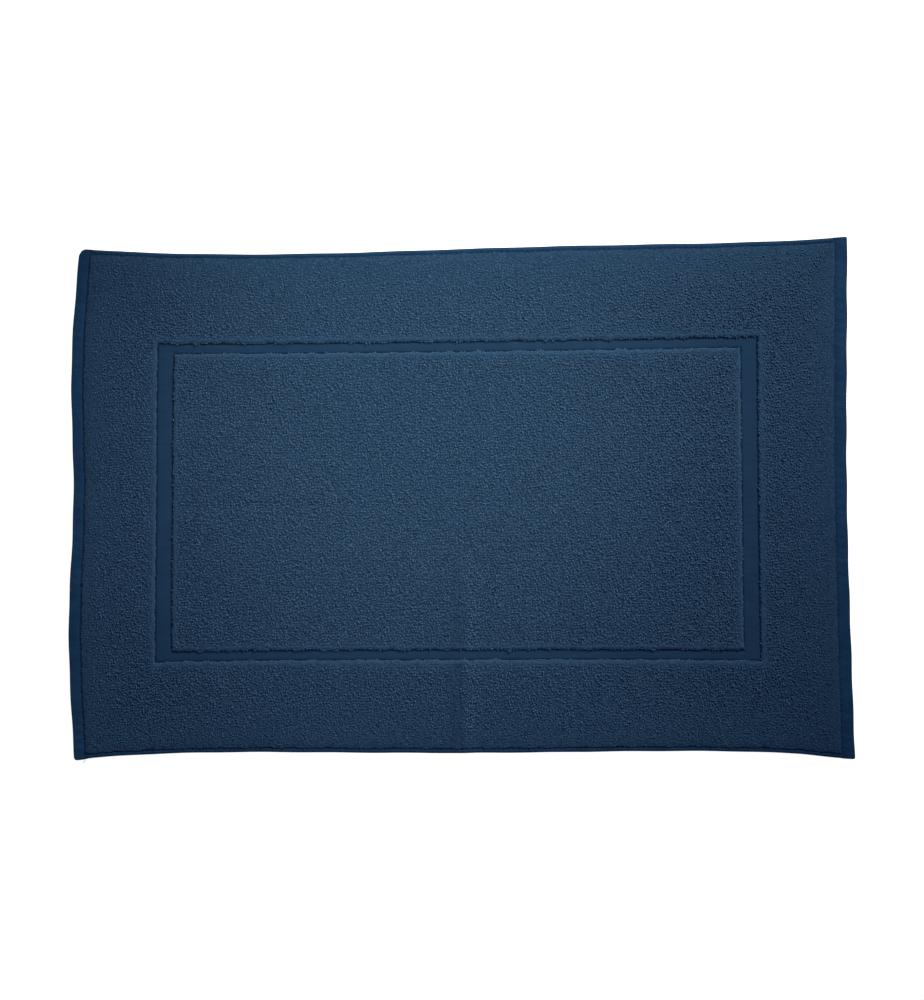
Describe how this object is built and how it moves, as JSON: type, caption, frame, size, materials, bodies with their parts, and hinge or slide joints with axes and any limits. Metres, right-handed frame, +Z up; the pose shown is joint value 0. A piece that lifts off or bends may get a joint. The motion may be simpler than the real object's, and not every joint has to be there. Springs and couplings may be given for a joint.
{
  "type": "bath mat",
  "caption": "Rectangular terry bath mat with a raised centre panel and border around a flat woven frame, and turned hems, which folds in half.",
  "frame": {"origin": "centre of the mat's footprint, on the surface that it lies on", "axes": "+X along the mat's long sides to its right end, +Y to its rear long side, +Z up out of the pile"},
  "size_m": [0.9115, 0.6126, 0.0068],
  "materials": {
    "terry_loops": "cotton terry loops, matt",
    "ground_weave": "plain woven cotton, matt",
    "rib_weave": "fine rib woven cotton, matt",
    "hem_weave": "plain woven cotton, folded and sewn, matt",
    "sewing_thread": "spun polyester sewing thread, slight sheen"
  },
  "bodies": {
    "left_half": {"left_border_back_pile": "terry_loops", "left_border_pile": "terry_loops", "left_centre_back_pile": "terry_loops", "left_centre_pile": "terry_loops", "left_end_bobbin_thread": "sewing_thread", "left_end_hem": "hem_weave", "left_end_needle_thread": "sewing_thread", "left_front_bobbin_thread": "sewing_thread", "left_front_hem": "hem_weave", "left_front_needle_thread": "sewing_thread", "left_ground_cloth": "ground_weave", "left_rear_bobbin_thread": "sewing_thread", "left_rear_hem": "hem_weave", "left_rear_needle_thread": "sewing_thread", "left_woven_band": "rib_weave", "seam_thread_tail": "sewing_thread"},
    "right_half": {"right_border_back_pile": "terry_loops", "right_border_pile": "terry_loops", "right_centre_back_pile": "terry_loops", "right_centre_pile": "terry_loops", "right_end_bobbin_thread": "sewing_thread", "right_end_hem": "hem_weave", "right_end_needle_thread": "sewing_thread", "right_front_bobbin_thread": "sewing_thread", "right_front_hem": "hem_weave", "right_front_needle_thread": "sewing_thread", "right_ground_cloth": "ground_weave", "right_rear_bobbin_thread": "sewing_thread", "right_rear_hem": "hem_weave", "right_rear_needle_thread": "sewing_thread", "right_woven_band": "rib_weave"}
  },
  "joints": [
    {"name": "centre_fold", "type": "hinge", "parent": "left_half", "child": "right_half", "pos_m": [0, 0, 0.0071], "axis": [0, -1, 0], "range_deg": [0, 179]}
  ]
}
